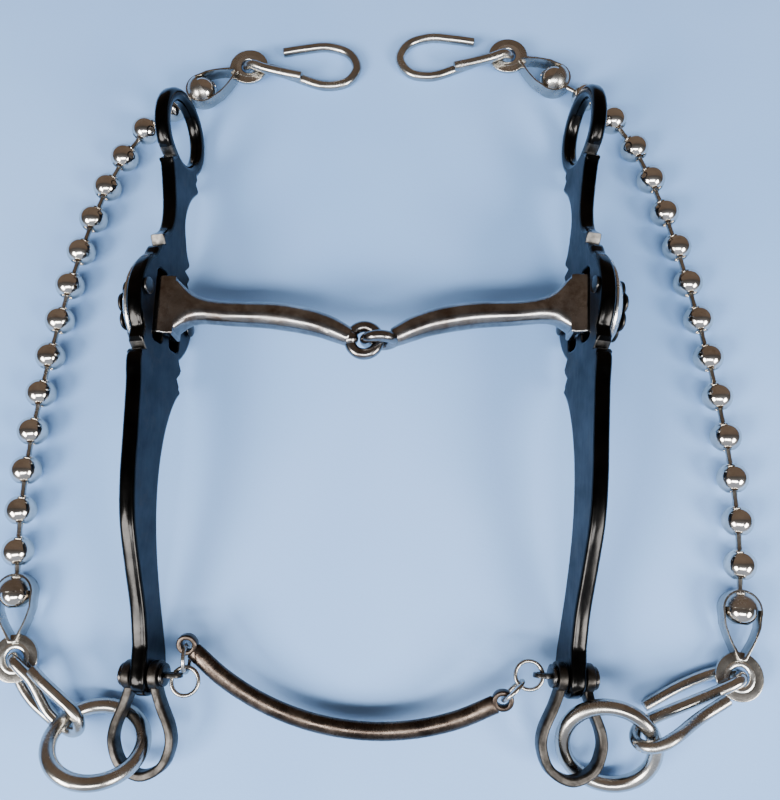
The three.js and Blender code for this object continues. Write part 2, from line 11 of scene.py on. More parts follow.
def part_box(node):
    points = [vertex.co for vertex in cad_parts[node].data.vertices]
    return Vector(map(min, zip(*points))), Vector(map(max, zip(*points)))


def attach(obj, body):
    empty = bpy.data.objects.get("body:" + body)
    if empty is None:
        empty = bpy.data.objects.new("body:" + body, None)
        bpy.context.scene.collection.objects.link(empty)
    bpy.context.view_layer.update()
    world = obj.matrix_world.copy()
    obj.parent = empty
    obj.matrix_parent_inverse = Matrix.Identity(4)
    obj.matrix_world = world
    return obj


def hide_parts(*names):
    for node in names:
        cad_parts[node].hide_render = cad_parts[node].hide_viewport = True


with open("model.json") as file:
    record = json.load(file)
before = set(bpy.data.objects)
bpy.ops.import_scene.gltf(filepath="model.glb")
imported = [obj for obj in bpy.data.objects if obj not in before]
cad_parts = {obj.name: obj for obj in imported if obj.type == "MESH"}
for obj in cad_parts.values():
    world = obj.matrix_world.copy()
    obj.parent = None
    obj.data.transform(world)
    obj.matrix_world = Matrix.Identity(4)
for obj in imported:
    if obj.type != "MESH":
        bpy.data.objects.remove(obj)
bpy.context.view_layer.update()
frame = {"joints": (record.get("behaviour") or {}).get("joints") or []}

# ---- dimensions in millimetres, as in the CAD part -----------------------------------------
MOUTH_HALF = 66.8
SPLAY = math.radians(10)
TOE_IN = math.radians(3.5)
CHEEK_THICK = 4.8
DISC_RADIUS = 17.8
RING_AT = (64.5, -2.6)
RING_RADIUS = 15
RING_HOLE = 10.5
PIN_AT = (-110, -8.1)
PIN_RADIUS = 2
SLOT_TOP = 10.6
SLOT_BOTTOM = -12.4
POST_HALF = 2.3
SLOT_EDGE = 8.2
BARREL_RADIUS = 5.3
BARREL_BORE = 3.4
BARREL_HALF = 9.6
JOINT_Y = -10.5
EYE_RADIUS = 4.5
EYE_WIRE = 1.8
EYE_OFFSET = 2.4
CONCHO_RADIUS = 16.4
CONCHO_RIVET_AT = (2, 14)
GAP = 0.3
SHACKLE_WIDTH = 4.2
SHACKLE_THICK = 2.6
SHACKLE_DROOP = {"left": math.radians(6.5), "right": math.radians(3)}
REIN_RING_RADIUS = 12.7
REIN_RING_WIRE = 2.2
# How each rein ring hangs: its tilt and its high side (outwards, Y); how far the hook's legs stand off.
REIN_RING_HANG = {"left": (math.radians(50), (0.25, -0.968)), "right": (math.radians(31), (0.3, 0.954))}
HOOK_LEGS = {"left": (5.7, 3.2), "right": (4.3, 2.3)}
SMALL_RING_RADIUS = 3.9
SMALL_RING_WIRE = 0.6
LUG_REACH = 9.1
BAR_SAG = 17
BAR_TILT = math.radians(20)
BEAD_RADIUS = 4.75
BEAD_PITCH = {"left": 12.7, "right": 13.1}
BEADS = 16
NECK_RADIUS = 0.95
NECK_DEPTH = 1.1
COUPLER_LENGTH = 19
COUPLER_EYE = 7
COUPLER_HOLE = 2.8
STRAP_WIDTH = 5
STRAP_THICK = 0.7
HOOK_WIRE = 1.7
HOOK_LOW = 1.9
HOOK_HIGH = 7.7
# Clear space beside the shank for each ear of the shackle, and round an end bead in its coupler.
EAR_GAP = 0.45
CAP_GAP = 0.45
CONCHO_HEIGHT = 5.7

X, Y, Z = Vector((1, 0, 0)), Vector((0, 1, 0)), Vector((0, 0, 1))
JOINT_POS = {j["child"]: Vector(j["pos_m"]) * 1000 for j in frame["joints"]}
POS = {j["name"]: Vector(j["pos_m"]) * 1000 for j in frame["joints"]}


# ---- materials -----------------------------------------------------------------------------
GRAIN_DEPTH = 0.00004


def ramp(nodes, links, source, low, high, spread=(0.35, 0.65)):
    made = nodes.new("ShaderNodeValToRGB")
    made.color_ramp.elements[0].position = spread[0]
    made.color_ramp.elements[1].position = spread[1]
    made.color_ramp.elements[0].color = low
    made.color_ramp.elements[1].color = high
    links.new(source, made.inputs["Fac"])
    return made.outputs["Color"]


def grey(value):
    return (value, value, value, 1)


def noise(nodes, links, place, scale, detail=4.0, rough=0.6):
    made = nodes.new("ShaderNodeTexNoise")
    made.inputs["Scale"].default_value = scale
    made.inputs["Detail"].default_value = detail
    made.inputs["Roughness"].default_value = rough
    links.new(place, made.inputs["Vector"])
    return made.outputs["Fac"]


def metal(name, dark, light, rough, patch, grain, bump, streak=(1, 1, 1), stain_or_reflection=None, stain_or_reflection_at=None):
    """A worn metal: patches of two tones, uneven polish, fine scratches along one axis, and blots of a second
    colour: real stains on most finishes, a painted reflection on the polished iron.
    """
    material = bpy.data.materials.new(name)
    material.use_nodes = True
    nodes, links = material.node_tree.nodes, material.node_tree.links
    shader = nodes["Principled BSDF"]
    place = nodes.new("ShaderNodeTexCoord").outputs["Object"]
    shader.inputs["Metallic"].default_value = 1.0
    tone = ramp(nodes, links, noise(nodes, links, place, patch, 5.0, 0.62), (*dark, 1), (*light, 1))
    if stain_or_reflection is not None:
        # Blots of the second colour: real stains, or painted reflection where a finish is given a reflected
        # tint.
        blots = noise(nodes, links, place, patch * 2.3, 6.0, 0.7)
        where = ramp(nodes, links, blots, grey(0), grey(1), stain_or_reflection_at)
        mixed = nodes.new("ShaderNodeMix")
        mixed.data_type = "RGBA"
        mixed.inputs["B"].default_value = (*stain_or_reflection, 1)
        links.new(where, mixed.inputs["Factor"])
        links.new(tone, mixed.inputs["A"])
        tone = mixed.outputs["Result"]
    links.new(tone, shader.inputs["Base Color"])
    stretched = nodes.new("ShaderNodeMapping")
    stretched.inputs["Scale"].default_value = streak
    links.new(place, stretched.inputs["Vector"])
    fine = noise(nodes, links, stretched.outputs["Vector"], grain, 3.0, 0.55)
    wide = noise(nodes, links, place, patch * 1.7, 3.0, 0.5)
    total = nodes.new("ShaderNodeMath")
    total.operation = "MULTIPLY_ADD"
    total.inputs[1].default_value = 0.45
    links.new(fine, total.inputs[0])
    links.new(wide, total.inputs[2])
    spread = nodes.new("ShaderNodeMapRange")
    spread.inputs["From Min"].default_value = 0.45
    spread.inputs["From Max"].default_value = 1.0
    spread.inputs["To Min"].default_value = rough[0]
    spread.inputs["To Max"].default_value = rough[1]
    links.new(total.outputs["Value"], spread.inputs["Value"])
    links.new(spread.outputs["Result"], shader.inputs["Roughness"])
    raised = nodes.new("ShaderNodeBump")
    raised.inputs["Strength"].default_value = bump
    raised.inputs["Distance"].default_value = GRAIN_DEPTH
    links.new(fine, raised.inputs["Height"])
    links.new(raised.outputs["Normal"], shader.inputs["Normal"])
    return material


BLUED = metal("blued_steel_finish", (0.012, 0.015, 0.020), (0.030, 0.034, 0.041), (0.30, 0.52),
              patch=60.0, grain=900.0, bump=0.20, streak=(1, 0.2, 1),
              stain_or_reflection=(0.040, 0.031, 0.026), stain_or_reflection_at=(0.52, 0.80))
# A darker copy of the blued steel for the cheeks' side walls: painted shade standing for their dark
# reflections; only the lower roughness is their own.
EDGE = metal("cheek_wall_painted_shade", (0.006, 0.006, 0.006), (0.020, 0.019, 0.018), (0.10, 0.24),
             patch=80.0, grain=1200.0, bump=0.18, streak=(1, 0.15, 1))
BARE = metal("filed_bare_steel", (0.040, 0.038, 0.035), (0.12, 0.112, 0.102), (0.26, 0.44),
             patch=500.0, grain=2600.0, bump=0.6, streak=(0.15, 1, 1))
DARK = metal("dark_steel_finish", (0.034, 0.033, 0.032), (0.084, 0.080, 0.076), (0.18, 0.36),
             patch=90.0, grain=1200.0, bump=0.25, stain_or_reflection=(0.075, 0.052, 0.040), stain_or_reflection_at=(0.52, 0.80))
# The brown blots in the polished iron are a painted reflection of warm brown surroundings, not stains.
MOUTH = metal("polished_sweet_iron", (0.19, 0.182, 0.176), (0.36, 0.35, 0.34), (0.13, 0.28),
              patch=70.0, grain=1100.0, bump=0.20, streak=(0.10, 1, 1),
              stain_or_reflection=(0.100, 0.064, 0.042), stain_or_reflection_at=(0.46, 0.74))
BROWN = metal("browned_steel_finish", (0.028, 0.025, 0.022), (0.072, 0.065, 0.058), (0.28, 0.52),
              patch=160.0, grain=1500.0, bump=0.55, stain_or_reflection=(0.018, 0.016, 0.014), stain_or_reflection_at=(0.46, 0.66))
BAR_BROWN = metal("browned_bar_finish", (0.040, 0.029, 0.023), (0.110, 0.084, 0.066), (0.18, 0.38),
                  patch=110.0, grain=1500.0, bump=0.30, stain_or_reflection=(0.028, 0.021, 0.018), stain_or_reflection_at=(0.48, 0.70))
NICKEL = metal("nickel_plate", (0.34, 0.32, 0.29), (0.50, 0.48, 0.44), (0.14, 0.32),
               patch=70.0, grain=1900.0, bump=0.12, stain_or_reflection=(0.24, 0.20, 0.16), stain_or_reflection_at=(0.58, 0.86))
BEAD_NICKEL = metal("bead_nickel_plate", (0.50, 0.46, 0.41), (0.68, 0.64, 0.58), (0.07, 0.17),
                    patch=120.0, grain=2400.0, bump=0.06, stain_or_reflection=(0.38, 0.30, 0.23), stain_or_reflection_at=(0.60, 0.88))
SILVER = metal("concho_silver_finish", (0.50, 0.49, 0.46), (0.68, 0.67, 0.64), (0.16, 0.32),
               patch=90.0, grain=1700.0, bump=0.16, stain_or_reflection=(0.26, 0.24, 0.22), stain_or_reflection_at=(0.60, 0.85))


# ---- mesh helpers --------------------------------------------------------------------------
def piece(name, vertices, faces, materials, body, nodes, slot,
          place=Matrix.Identity(4), sharp=38, marks=None):
    """Makes an object from millimetre points, moved by place, and hangs it on a CAD body."""
    mesh = bpy.data.meshes.new(name)
    mesh.from_pydata([tuple((place @ Vector(v)) * 0.001) for v in vertices], [], [tuple(f) for f in faces])
    mesh.validate()
    cleaner = bmesh.new()
    cleaner.from_mesh(mesh)
    bmesh.ops.recalc_face_normals(cleaner, faces=cleaner.faces)
    cleaner.to_mesh(mesh)
    cleaner.free()
    for material in materials:
        mesh.materials.append(material)
    mesh.polygons.foreach_set("use_smooth", [True] * len(mesh.polygons))
    if marks is not None:
        mesh.polygons.foreach_set("material_index", marks)
    mesh.set_sharp_from_angle(angle=math.radians(sharp))
    mesh.update()
    made = bpy.data.objects.new(name, mesh)
    bpy.context.scene.collection.objects.link(made)
    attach(made, body)
    if nodes:
        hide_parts(*nodes)
    return made


def together(*shells):
    """Puts several (points, faces) shells into one."""
    points, faces = [], []
    for more_points, more_faces in shells:
        start = len(points)
        points += [tuple(p) for p in more_points]
        faces += [tuple(i + start for i in f) for f in more_faces]
    return points, faces


def moved(shell, matrix):
    return [tuple(matrix @ Vector(p)) for p in shell[0]], shell[1]


def arc(centre, radius, start, end, steps):
    angles = np.radians(np.linspace(start, end, steps + 1))
    return [(centre[0] + radius * math.cos(a), centre[1] + radius * math.sin(a)) for a in angles]


def smooth(points, steps):
    """An even spline through the points, the same kind as the CAD part's outlines use."""
    points = np.array(points, float)
    last = len(points) - 1
    made = []
    for s in np.linspace(0, last, steps + 1):
        i = min(int(s), last - 1)
        t = s - i
        p0, p1, p2, p3 = points[max(i - 1, 0)], points[i], points[i + 1], points[min(i + 2, last)]
        v0, v1 = (p2 - p0) / 2, (p3 - p1) / 2
        cubic, square = 2 * p1 - 2 * p2 + v0 + v1, -3 * p1 + 3 * p2 - 2 * v0 - v1
        made.append(tuple(cubic * t**3 + square * t * t + v0 * t + p1))
    return made


def curve_through(points, count):
    """count points evenly spaced along a centripetal spline through the given ones."""
    points = [np.array(p, float) for p in points]
    points = [2 * points[0] - points[1], *points, 2 * points[-1] - points[-2]]
    fine = []
    for p0, p1, p2, p3 in zip(points, points[1:], points[2:], points[3:]):
        d0, d1, d2 = (max(np.linalg.norm(b - a), 1e-6) ** 0.5 for a, b in ((p0, p1), (p1, p2), (p2, p3)))
        t1 = ((p1 - p0) / d0 - (p2 - p0) / (d0 + d1) + (p2 - p1) / d1) * d1
        t2 = ((p2 - p1) / d1 - (p3 - p1) / (d1 + d2) + (p3 - p2) / d2) * d1
        square, cubic = -3 * p1 + 3 * p2 - 2 * t1 - t2, 2 * p1 - 2 * p2 + t1 + t2
        for t in np.linspace(0, 1, 40, endpoint=False):
            fine.append(p1 + t1 * t + square * t * t + cubic * t**3)
    fine.append(points[-2])
    fine = np.array(fine)
    along = np.r_[0, np.cumsum(np.linalg.norm(np.diff(fine, axis=0), axis=1))]
    wanted = np.linspace(0, along[-1], count)
    return np.array([np.interp(wanted, along, fine[:, k]) for k in range(fine.shape[1])]).T


def resampled(loop, spacing):
    """A closed loop with its long sides divided, so that the rounding follows them evenly."""
    made = []
    for a, b in zip(loop, loop[1:] + loop[:1]):
        parts = max(1, int(round(math.dist(a, b) / spacing)))
        made += [(a[0] + (b[0] - a[0]) * k / parts, a[1] + (b[1] - a[1]) * k / parts) for k in range(parts)]
    return made


def area_of(loop):
    return sum(a[0] * b[1] - b[0] * a[1] for a, b in zip(loop, loop[1:] + loop[:1])) / 2


def nearest(points, loops):
    """Distance from each point to the nearest side of any loop."""
    best = np.full(len(points), 1e9)
    for loop in loops:
        a = np.array(loop)
        b = np.roll(a, -1, axis=0)
        side = b - a
        t = np.einsum("pik,ik->pi", points[:, None] - a[None], side) / np.maximum((side**2).sum(1), 1e-12)
        foot = a[None] + np.clip(t, 0, 1)[..., None] * side[None]
        best = np.minimum(best, np.linalg.norm(points[:, None] - foot, axis=2).min(1))
    return best


def rounded_plate(loops, thickness, radius_at, segments=4, flat=0.35):
    """A plate cut to loops (the first is the outside), with quarter-round edges.
    Its points are (u, v, height); returns points, faces and which faces are its side walls."""
    loops = [list(loop) for loop in loops]
    for i, loop in enumerate(loops):
        if (area_of(loop) > 0) != (i == 0):
            loop.reverse()
    insets, radii = [], []
    for loop in loops:
        p = np.array(loop)
        before, after = p - np.roll(p, 1, axis=0), np.roll(p, -1, axis=0) - p
        before /= np.maximum(np.linalg.norm(before, axis=1, keepdims=True), 1e-9)
        after /= np.maximum(np.linalg.norm(after, axis=1, keepdims=True), 1e-9)
        inward = np.c_[-before[:, 1] - after[:, 1], before[:, 0] + after[:, 0]]
        inward /= np.maximum(np.linalg.norm(inward, axis=1, keepdims=True), 1e-9)
        half = np.clip((inward * np.c_[-after[:, 1], after[:, 0]]).sum(1), 0.55, 1)
        inward /= half[:, None]
        want = np.array([radius_at(q) for q in loop], float)
        room = np.zeros(len(loop))
        for share in np.linspace(0.1, 1, 10):
            tried = p + inward * (want * share + flat)[:, None]
            free = nearest(tried, loops) >= 0.93 * (want * share + flat)
            room = np.where(free & (room >= share - 0.11), share, room)
        eased = np.minimum.reduce([np.roll(room, k) for k in (-1, 0, 1)])
        for _ in range(3):
            eased = (np.roll(eased, 1) + 2 * eased + np.roll(eased, -1)) / 4
        radii.append(want * np.clip(eased, 0.06, 1))
        insets.append(inward)
    points, faces, side, caps = [], [], [], {1: [], -1: []}
    for loop, inward, radius in zip(loops, insets, radii):
        p = np.array(loop)
        count = len(loop)
        rows = []
        levels = [(1, math.pi / 2 * k / segments) for k in range(segments, -1, -1)]
        levels += [(-1, math.pi / 2 * k / segments) for k in range(segments + 1)]
        rims = [(1, None), *levels, (-1, None)]
        for sign, angle in rims:
            if angle is None:
                shift = radius + flat * np.clip(radius / 0.5, 0.1, 1)
                height = np.full(count, thickness / 2)
            else:
                shift = radius * (1 - math.cos(angle))
                height = thickness / 2 - radius + radius * math.sin(angle)
            at = p + inward * shift[:, None]
            rows.append(len(points))
            points += [(q[0], q[1], sign * h) for q, h in zip(at, height)]
        for row, (a, b) in enumerate(zip(rows, rows[1:])):
            for k in range(count):
                n = (k + 1) % count
                faces.append((a + k, a + n, b + n, b + k))
                side.append(0 < row < len(rows) - 2)
        caps[1].append(rows[0])
        caps[-1].append(rows[-1])
    for starts in caps.values():
        rings = [[Vector((*points[s + k][:2], 0)) for k in range(len(loop))]
                 for s, loop in zip(starts, loops)]
        index = [s + k for s, loop in zip(starts, loops) for k in range(len(loop))]
        for triangle in tessellate_polygon(rings):
            faces.append(tuple(index[i] for i in triangle))
            side.append(False)
    return points, faces, side


def rod(path, section, sides=20, level=False, ends=0.0):
    """A rod along a path; section(t) is its half width, half height and, if given, how square it is.
    ends rounds its tips."""
    path = [Vector(p) for p in path]
    count = len(path)
    tangents = [(path[min(i + 1, count - 1)] - path[max(i - 1, 0)]).normalized() for i in range(count)]
    across = Z.cross(tangents[0]) if level or abs(tangents[0].z) < 0.9 else X.cross(tangents[0])
    stations = [(p, t, section(i / (count - 1)), 1.0, 0.0) for i, (p, t) in enumerate(zip(path, tangents))]
    if ends:
        first, last = stations[0], stations[-1]
        stations[0] = (*first[:3], 1.0, ends)
        stations[-1] = (*last[:3], 1.0, -ends)
        stations.insert(0, (*first[:3], 1 - ends / first[2][0], 0.0))
        stations.append((*last[:3], 1 - ends / last[2][0], 0.0))
    points, faces = [], []
    for at, tangent, (wide, high, *square), scale, shift in stations:
        power = 2 / (square[0] if square else 2)
        if level:
            across = Z.cross(tangent)
        across = (across - tangent * across.dot(tangent)).normalized()
        upward = tangent.cross(across)
        for k in range(sides):
            angle = 2 * math.pi * k / sides
            c, s = (math.copysign(abs(v) ** power, v) for v in (math.cos(angle), math.sin(angle)))
            points.append(at + tangent * shift + across * (wide * scale * c) + upward * (high * scale * s))
    for row in range(len(stations) - 1):
        for k in range(sides):
            n = (k + 1) % sides
            a = row * sides
            faces.append((a + k, a + n, a + sides + n, a + sides + k))
    faces.append(tuple(range(sides)))
    faces.append(tuple(len(points) - sides + k for k in range(sides)))
    return points, faces


def turned(profile, sides=40, closed=False):
    """A profile of (radius, height) spun round Z."""
    points, faces, rows = [], [], []
    for radius, height in profile:
        if radius < 1e-6:
            rows.append([len(points)] * sides)
            points.append((0, 0, height))
        else:
            rows.append([len(points) + k for k in range(sides)])
            for k in range(sides):
                angle = 2 * math.pi * k / sides
                points.append((radius * math.cos(angle), radius * math.sin(angle), height))
    pairs = list(zip(rows, rows[1:])) + ([(rows[-1], rows[0])] if closed else [])
    for low, high in pairs:
        for k in range(sides):
            n = (k + 1) % sides
            corners = list(dict.fromkeys((low[k], low[n], high[n], high[k])))
            if len(corners) > 2:
                faces.append(tuple(corners))
    return points, faces


def ring(radius, wire, segments, sides):
    angles = [2 * math.pi * k / sides for k in range(sides)]
    return turned([(radius + wire * math.cos(a), wire * math.sin(a)) for a in angles], segments, True)


def rounded_disc(radius, bottom, top, edge, hole=0.0, sides=40, dome=0.0):
    """A disc round Z with rounded rims, with or without a hole, and a slight crown if dome is set."""
    def corner(r, h, start, end):
        return [(r + edge * math.cos(math.radians(a)), h + edge * math.sin(math.radians(a)))
                for a in np.linspace(start, end, 5)]
    outside = corner(radius - edge, bottom + edge, -90, 0) + corner(radius - edge, top - edge, 0, 90)
    if hole:
        inside = corner(hole + edge, top - edge, 90, 180) + corner(hole + edge, bottom + edge, 180, 270)
        return turned(outside + inside, sides, True)
    crown = [(radius * k, top + dome * (1 - k * k)) for k in (0.75, 0.5, 0.25, 0)]
    return turned([(0, bottom)] + outside + crown, sides)


def to_axis(axis):
    return Z.rotation_difference(Vector(axis)).to_matrix().to_4x4()


def at(*place):
    return Matrix.Translation(Vector(place))


# Plate coordinates (u, v, height) laid on a cheek: u is Y, v is up the cheek, height is X.
ON_CHEEK = Matrix(((0, 0, 1, 0), (1, 0, 0, 0), (0, 1, 0, 0), (0, 0, 0, 1)))
NOTCHES = [(52.4, 4.4), (19.8, 5.4), (-16.8, 11.4), (-20.6, -9.4), (16.8, -9.4), (50.6, -12)]


# ---- cheeks --------------------------------------------------------------------------------
def cheek_outline():
    headstall = arc(RING_AT, RING_RADIUS, -134, 132, 70)
    near_neck = smooth([(50.4, 6), (43.5, 3.6), (34, 1.6), (27, 2.6), (22.4, 7)], 30)
    near_disc = arc((0, 0), DISC_RADIUS, 36, 128, 28)
    near_shank = smooth([(-17.3, 13.2), (-19.2, 14.5), (-22.4, 14.5), (-28, 13.6), (-42, 12.8),
                         (-56, 12), (-68, 9.8), (-80, 5), (-92, -0.2), (-102, -3)], 70)
    shank_end = smooth([(-107, -3), (-112.8, -3.6), (-116, -8.4), (-114.6, -14.2),
                        (-109.5, -17.3), (-103.5, -16.4)], 40)
    far_shank = smooth([(-96, -13.6), (-86, -9.8), (-75, -6.4), (-64, -4.2), (-52, -3.6),
                        (-41, -5), (-32, -8), (-24.6, -12.4)], 60)
    far_disc = arc((0, 0), DISC_RADIUS, 216, 318, 32)
    far_neck = smooth([(19.6, -12.2), (26, -9.4), (33.5, -7.6), (41, -9.4), (48.4, -14.4)], 30)
    return [
        *headstall, (52.4, 4.4), *near_neck, (19.8, 5.4), (17.4, 9),
        *near_disc, (-14, 14.6), (-16.8, 11.4), *near_shank, *shank_end, *far_shank,
        (-20.6, -9.4), (-17.4, -12.2), *far_disc, (15.4, -12.8), (16.8, -9.4), *far_neck, (50.6, -12),
    ]


def window(side):
    corner = 1.6
    near, far = side * (POST_HALF + corner), side * (SLOT_EDGE - corner)
    centres = [(SLOT_TOP - corner, far), (SLOT_BOTTOM + corner, far),
               (SLOT_BOTTOM + corner, near), (SLOT_TOP - corner, near)]
    turns = [(side * a, side * (a + 90)) for a in (0, 90, 180, 270)]
    loop = []
    for centre, (start, end) in zip(centres, turns):
        loop += arc(centre, corner, start, end, 6)
    return loop


def cheek_edge(q):
    """How round the cheek's edge is at a point of its outline."""
    from_ring = math.dist(q, RING_AT)
    if from_ring < RING_RADIUS + 0.5:
        return 2.05
    if min(math.dist(q, n) for n in NOTCHES) < 3:
        return 0.5
    if math.hypot(*q) < RING_RADIUS:
        return 0.7
    return 1.45


def build_cheek(word, sign, place):
    loops = [resampled(cheek_outline(), 0.9), arc(RING_AT, RING_HOLE, 0, 354, 59),
             resampled(window(1), 0.9), resampled(window(-1), 0.9)]
    points, faces, side = rounded_plate(loops, CHEEK_THICK, cheek_edge, 5)
    marks = []
    for face, wall in zip(faces, side):
        middle = np.mean([points[i] for i in face], axis=0)
        filed = any(math.dist(middle[:2], n) < 2.6 and middle[0] > n[0] + 0.1 for n in NOTCHES)
        # Side walls take the darker painted-shade copy of the blued steel (2), the filed notch walls bare
        # steel (1), the faces blued steel (0).
        marks.append((1 if filed else 2) if wall else 0)
    piece(f"{word}_cheek_plate", points, faces, [BLUED, BARE, EDGE], f"{word}_cheek", [f"{word}_cheek"],
          "blued_steel", place @ ON_CHEEK, 50, marks)

    outward = to_axis((sign, 0, 0))
    seat = CHEEK_THICK / 2 + GAP
    dome = [(0, 4.2), (8, 3.9), (10.6, 3.1), (12.4, 0.2), (12.8, 0), (CONCHO_RADIUS - 0.5, 0),
            (CONCHO_RADIUS - 0.1, 0.15), (CONCHO_RADIUS, 0.5), (CONCHO_RADIUS - 0.1, 0.85),
            (CONCHO_RADIUS - 0.5, 1),
            (15.4, 1), (15.1, 0.78), (14.8, 0.78), (14.5, 1.05), (13.9, 1.2), (13.2, 1.75), (12.5, 2.9),
            (11.9, 3.75), (11.2, 4.35), (10.2, 4.85), (8.6, 5.25), (6, 5.5), (3, 5.65), (0, CONCHO_HEIGHT)]
    points, faces = turned([(r, h + seat) for r, h in dome], 72)
    piece(f"{word}_concho_dome", points, faces, [SILVER], f"{word}_cheek", [f"{word}_concho_plate"],
          "concho_silver", place @ outward)
    inner = to_axis((-sign, 0, 0))
    for number, turn in enumerate((1, -1), 1):
        y, z = turn * CONCHO_RIVET_AT[0], turn * CONCHO_RIVET_AT[1]
        head = rounded_disc(2.6, seat, seat + 0.75, 0.3, 0, 28, 0.3)
        shank = turned([(0, -seat), (1.5, -seat), (1.5, seat + 0.3), (0, seat + 0.3)], 20)
        points, faces = together(head, shank)
        piece(f"{word}_concho_rivet_{number}", points, faces, [DARK], f"{word}_cheek", [],
              "concho_silver", place @ at(0, y, z) @ inner)

    lobes, around, rows = 8, 160, []
    # share of the rim's radius, and height, from the back to the button in the middle
    stack = [(0, 0.0), (1, 0.0), (1, 0.35), (0.985, 0.7), (0.93, 1.05), (0.84, 1.35), (0.72, 1.55),
             (0.55, 1.65), (0.42, 1.62), (0.385, 1.42), (0.35, 1.42), (0.315, 1.66), (0.22, 1.8),
             (0.1, 1.8), (0, 1.8)]
    points, faces = [], []
    for share, height in stack:
        if share == 0:
            rows.append([len(points)] * around)
            points.append((0, 0, height))
            continue
        rows.append([len(points) + k for k in range(around)])
        for k in range(around):
            angle = 2 * math.pi * k / around
            lobe = abs(math.cos(lobes / 2 * angle))
            rim = 8.6 + 1.5 * lobe
            blend = min(1, max(0, (share - 0.4) / 0.45))
            depth = 0.34 if height > 0.4 else 0
            groove = depth * (1 - lobe) ** 3 * min(1, max(0, (share - 0.42) / 0.2))
            radius = share * (rim * blend + 9.3 * (1 - blend))
            points.append((radius * math.cos(angle), radius * math.sin(angle), height - groove))
    for low, high in zip(rows, rows[1:]):
        for k in range(around):
            n = (k + 1) % around
            corners = list(dict.fromkeys((low[k], low[n], high[n], high[k])))
            if len(corners) > 2:
                faces.append(tuple(corners))
    base = CHEEK_THICK / 2 + GAP + CONCHO_HEIGHT + GAP
    piece(f"{word}_concho_flower", points, faces, [BROWN], f"{word}_cheek", [f"{word}_concho_rosette"],
          "browned_steel", place @ at(sign * base, 0, 0) @ outward, 30)

    ear = CHEEK_THICK / 2 + EAR_GAP + SHACKLE_THICK + GAP
    pin = place @ at(0, *PIN_AT)
    shank = turned([(0, -ear - 0.2), (PIN_RADIUS, -ear - 0.2), (PIN_RADIUS, ear + 0.2), (0, ear + 0.2)], 28)
    head = rounded_disc(3.3, ear, ear + 1.1, 0.4, 0, 32, 0.2)
    lug_at = (-sign * LUG_REACH, 0, 0)
    lug = moved(rounded_disc(2.8, -0.7, 0.7, 0.3, 1.6, 32), at(*lug_at) @ to_axis((0, 1, 0)))
    parts = [moved(shank, to_axis(X)), moved(head, to_axis(X)), moved(head, to_axis(-X)), lug]
    points, faces = together(*parts)
    piece(f"{word}_shackle_rivet", points, faces, [DARK], f"{word}_cheek", [f"{word}_shackle_pin"],
          "dark_steel", pin)


def build_shackle(word, place):
    leg = CHEEK_THICK / 2 + EAR_GAP + SHACKLE_THICK / 2
    half = [(leg, 1), (leg, -3.4), (5.8, -8.4), (8.5, -14.6), (8.8, -19.6), (6.2, -25)]
    other = [(-x, y) for x, y in reversed(half)]
    centre = np.array(smooth([*half, (0, -27.7), *other], 90))
    heading = np.gradient(centre, axis=0)
    heading /= np.linalg.norm(heading, axis=1, keepdims=True)
    normal = np.c_[-heading[:, 1], heading[:, 0]]
    outer, inner = centre + normal * SHACKLE_THICK / 2, centre - normal * SHACKLE_THICK / 2
    loop = [tuple(p) for p in outer] + [tuple(p) for p in inner[::-1]]
    points, faces, _ = rounded_plate([resampled(loop, 0.7)], SHACKLE_WIDTH, lambda q: 0.75, 4, 0.2)
    ears = []
    for side in (-1, 1):
        ear = rounded_disc(4.1, -SHACKLE_THICK / 2, SHACKLE_THICK / 2, 0.35, PIN_RADIUS + 0.2, 40)
        ears.append(moved(ear, at(side * leg, 0, 0) @ to_axis((1, 0, 0))))
    points, faces = together((points, faces), *ears)
    piece(f"{word}_shackle_strap", points, faces, [BROWN], f"{word}_shackle", [f"{word}_shackle"],
          "browned_steel", place)


# ---- mouthpiece ----------------------------------------------------------------------------
def section_from(stations, x):
    places = [s[0] for s in stations]
    return tuple(np.interp(x, places, [s[k] for s in stations]) for k in (1, 2, 3))


def barrel_edge(q):
    """How round the barrel's end is at a point of its outline: sharp at the bore, soft by the flare."""
    if math.hypot(*q) < BARREL_BORE + 0.1:
        return 0.3
    return 1.6 if q[0] > 4 else 0.7


